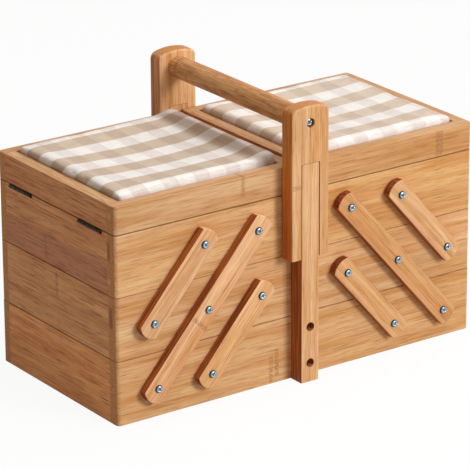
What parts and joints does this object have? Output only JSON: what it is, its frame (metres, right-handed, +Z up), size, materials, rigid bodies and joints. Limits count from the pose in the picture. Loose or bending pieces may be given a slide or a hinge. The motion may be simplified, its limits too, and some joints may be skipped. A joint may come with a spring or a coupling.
{
  "type": "cantilever sewing box",
  "caption": "Wooden cantilever sewing box with tiers of trays that swing out on parallel arms, padded check-fabric lids and a fixed carrying handle.",
  "frame": {"origin": "centre of the closed box's underside, on the surface that it stands on", "axes": "+X along the length, +Y towards the rear, +Z up; the front is at -Y"},
  "size_m": [0.3434, 0.192, 0.226],
  "materials": {
    "bamboo_front": "satin clear lacquer",
    "bamboo_arm": "satin clear lacquer",
    "bamboo_handle": "satin clear lacquer",
    "bamboo_panel": "matt sanded",
    "gingham": "woven cotton check",
    "zinc_screw": "bright bluish zinc plate",
    "bronze_hinge": "dark antique bronze"
  },
  "bodies": {
    "base": {"base_front_board": "bamboo_front", "base_rear_board": "bamboo_front", "base_left_board": "bamboo_front", "base_right_board": "bamboo_front", "base_bottom_panel": "bamboo_panel", "front_post": "bamboo_handle", "rear_post": "bamboo_handle", "front_cheek": "bamboo_handle", "rear_cheek": "bamboo_handle", "handle_rod": "bamboo_handle", "handle_screws": "zinc_screw", "base_arm_screws": "zinc_screw"},
    "left_long_arms": {"left_long_arms": "bamboo_arm"},
    "left_lower_arms": {"left_lower_arms": "bamboo_arm"},
    "left_upper_arms": {"left_upper_arms": "bamboo_arm"},
    "left_mid_tray": {"left_mid_front_board": "bamboo_front", "left_mid_rear_board": "bamboo_front", "left_mid_outer_board": "bamboo_front", "left_mid_inner_board": "bamboo_front", "left_mid_bottom_panel": "bamboo_panel", "left_mid_arm_screws": "zinc_screw"},
    "left_top_tray": {"left_top_front_board": "bamboo_front", "left_top_rear_board": "bamboo_front", "left_top_outer_board": "bamboo_front", "left_top_inner_board": "bamboo_front", "left_top_bottom_panel": "bamboo_panel", "left_top_arm_screws": "zinc_screw", "left_tray_hinge_leaves": "bronze_hinge", "left_hinge_pins": "bronze_hinge"},
    "left_lid": {"left_lid_front_board": "bamboo_front", "left_lid_rear_board": "bamboo_front", "left_lid_outer_board": "bamboo_front", "left_lid_inner_board": "bamboo_front", "left_lid_panel": "bamboo_panel", "left_lid_cushion": "gingham", "left_lid_hinge_leaves": "bronze_hinge"},
    "right_long_arms": {"right_long_arms": "bamboo_arm"},
    "right_lower_arms": {"right_lower_arms": "bamboo_arm"},
    "right_upper_arms": {"right_upper_arms": "bamboo_arm"},
    "right_mid_tray": {"right_mid_front_board": "bamboo_front", "right_mid_rear_board": "bamboo_front", "right_mid_outer_board": "bamboo_front", "right_mid_inner_board": "bamboo_front", "right_mid_bottom_panel": "bamboo_panel", "right_mid_arm_screws": "zinc_screw"},
    "right_top_tray": {"right_top_front_board": "bamboo_front", "right_top_rear_board": "bamboo_front", "right_top_outer_board": "bamboo_front", "right_top_inner_board": "bamboo_front", "right_top_bottom_panel": "bamboo_panel", "right_top_arm_screws": "zinc_screw", "right_tray_hinge_leaves": "bronze_hinge", "right_hinge_pins": "bronze_hinge"},
    "right_lid": {"right_lid_front_board": "bamboo_front", "right_lid_rear_board": "bamboo_front", "right_lid_outer_board": "bamboo_front", "right_lid_inner_board": "bamboo_front", "right_lid_panel": "bamboo_panel", "right_lid_cushion": "gingham", "right_lid_hinge_leaves": "bronze_hinge"}
  },
  "joints": [
    {"name": "left_unfold", "type": "hinge", "parent": "base", "child": "left_long_arms", "pos_m": [-0.1375, 0, 0.0257], "axis": [0, -1, 0], "range_deg": [0, 82.2]},
    {"name": "left_lower_arm_swing", "type": "hinge", "parent": "base", "child": "left_lower_arms", "pos_m": [-0.0879, 0, 0.0257], "axis": [0, -1, 0], "range_deg": [0, 82.2]},
    {"name": "left_mid_tray_level", "type": "hinge", "parent": "left_long_arms", "child": "left_mid_tray", "pos_m": [-0.09089, 0, 0.07913], "axis": [0, -1, 0], "range_deg": [-82.2, 0]},
    {"name": "left_upper_arm_swing", "type": "hinge", "parent": "left_mid_tray", "child": "left_upper_arms", "pos_m": [-0.14049, 0, 0.07913], "axis": [0, -1, 0], "range_deg": [0, 82.2]},
    {"name": "left_top_tray_level", "type": "hinge", "parent": "left_long_arms", "child": "left_top_tray", "pos_m": [-0.04428, 0, 0.13256], "axis": [0, -1, 0], "range_deg": [-82.2, 0]},
    {"name": "left_lid_open", "type": "hinge", "parent": "left_top_tray", "child": "left_lid", "pos_m": [-0.1703, 0, 0.1516], "axis": [0, -1, 0], "range_deg": [0, 180]},
    {"name": "right_unfold", "type": "hinge", "parent": "base", "child": "right_long_arms", "pos_m": [0.1375, 0, 0.0257], "axis": [0, 1, 0], "range_deg": [0, 82.2]},
    {"name": "right_lower_arm_swing", "type": "hinge", "parent": "base", "child": "right_lower_arms", "pos_m": [0.0879, 0, 0.0257], "axis": [0, 1, 0], "range_deg": [0, 82.2]},
    {"name": "right_mid_tray_level", "type": "hinge", "parent": "right_long_arms", "child": "right_mid_tray", "pos_m": [0.09089, 0, 0.07913], "axis": [0, 1, 0], "range_deg": [-82.2, 0]},
    {"name": "right_upper_arm_swing", "type": "hinge", "parent": "right_mid_tray", "child": "right_upper_arms", "pos_m": [0.14049, 0, 0.07913], "axis": [0, 1, 0], "range_deg": [0, 82.2]},
    {"name": "right_top_tray_level", "type": "hinge", "parent": "right_long_arms", "child": "right_top_tray", "pos_m": [0.04428, 0, 0.13256], "axis": [0, 1, 0], "range_deg": [-82.2, 0]},
    {"name": "right_lid_open", "type": "hinge", "parent": "right_top_tray", "child": "right_lid", "pos_m": [0.1703, 0, 0.1516], "axis": [0, 1, 0], "range_deg": [0, 180]}
  ],
  "couplings": [
    {"joint": "left_lower_arm_swing", "follows": "left_unfold", "ratio": 1},
    {"joint": "left_mid_tray_level", "follows": "left_unfold", "ratio": -1},
    {"joint": "left_upper_arm_swing", "follows": "left_unfold", "ratio": 1},
    {"joint": "left_top_tray_level", "follows": "left_unfold", "ratio": -1},
    {"joint": "right_lower_arm_swing", "follows": "right_unfold", "ratio": 1},
    {"joint": "right_mid_tray_level", "follows": "right_unfold", "ratio": -1},
    {"joint": "right_upper_arm_swing", "follows": "right_unfold", "ratio": 1},
    {"joint": "right_top_tray_level", "follows": "right_unfold", "ratio": -1}
  ]
}
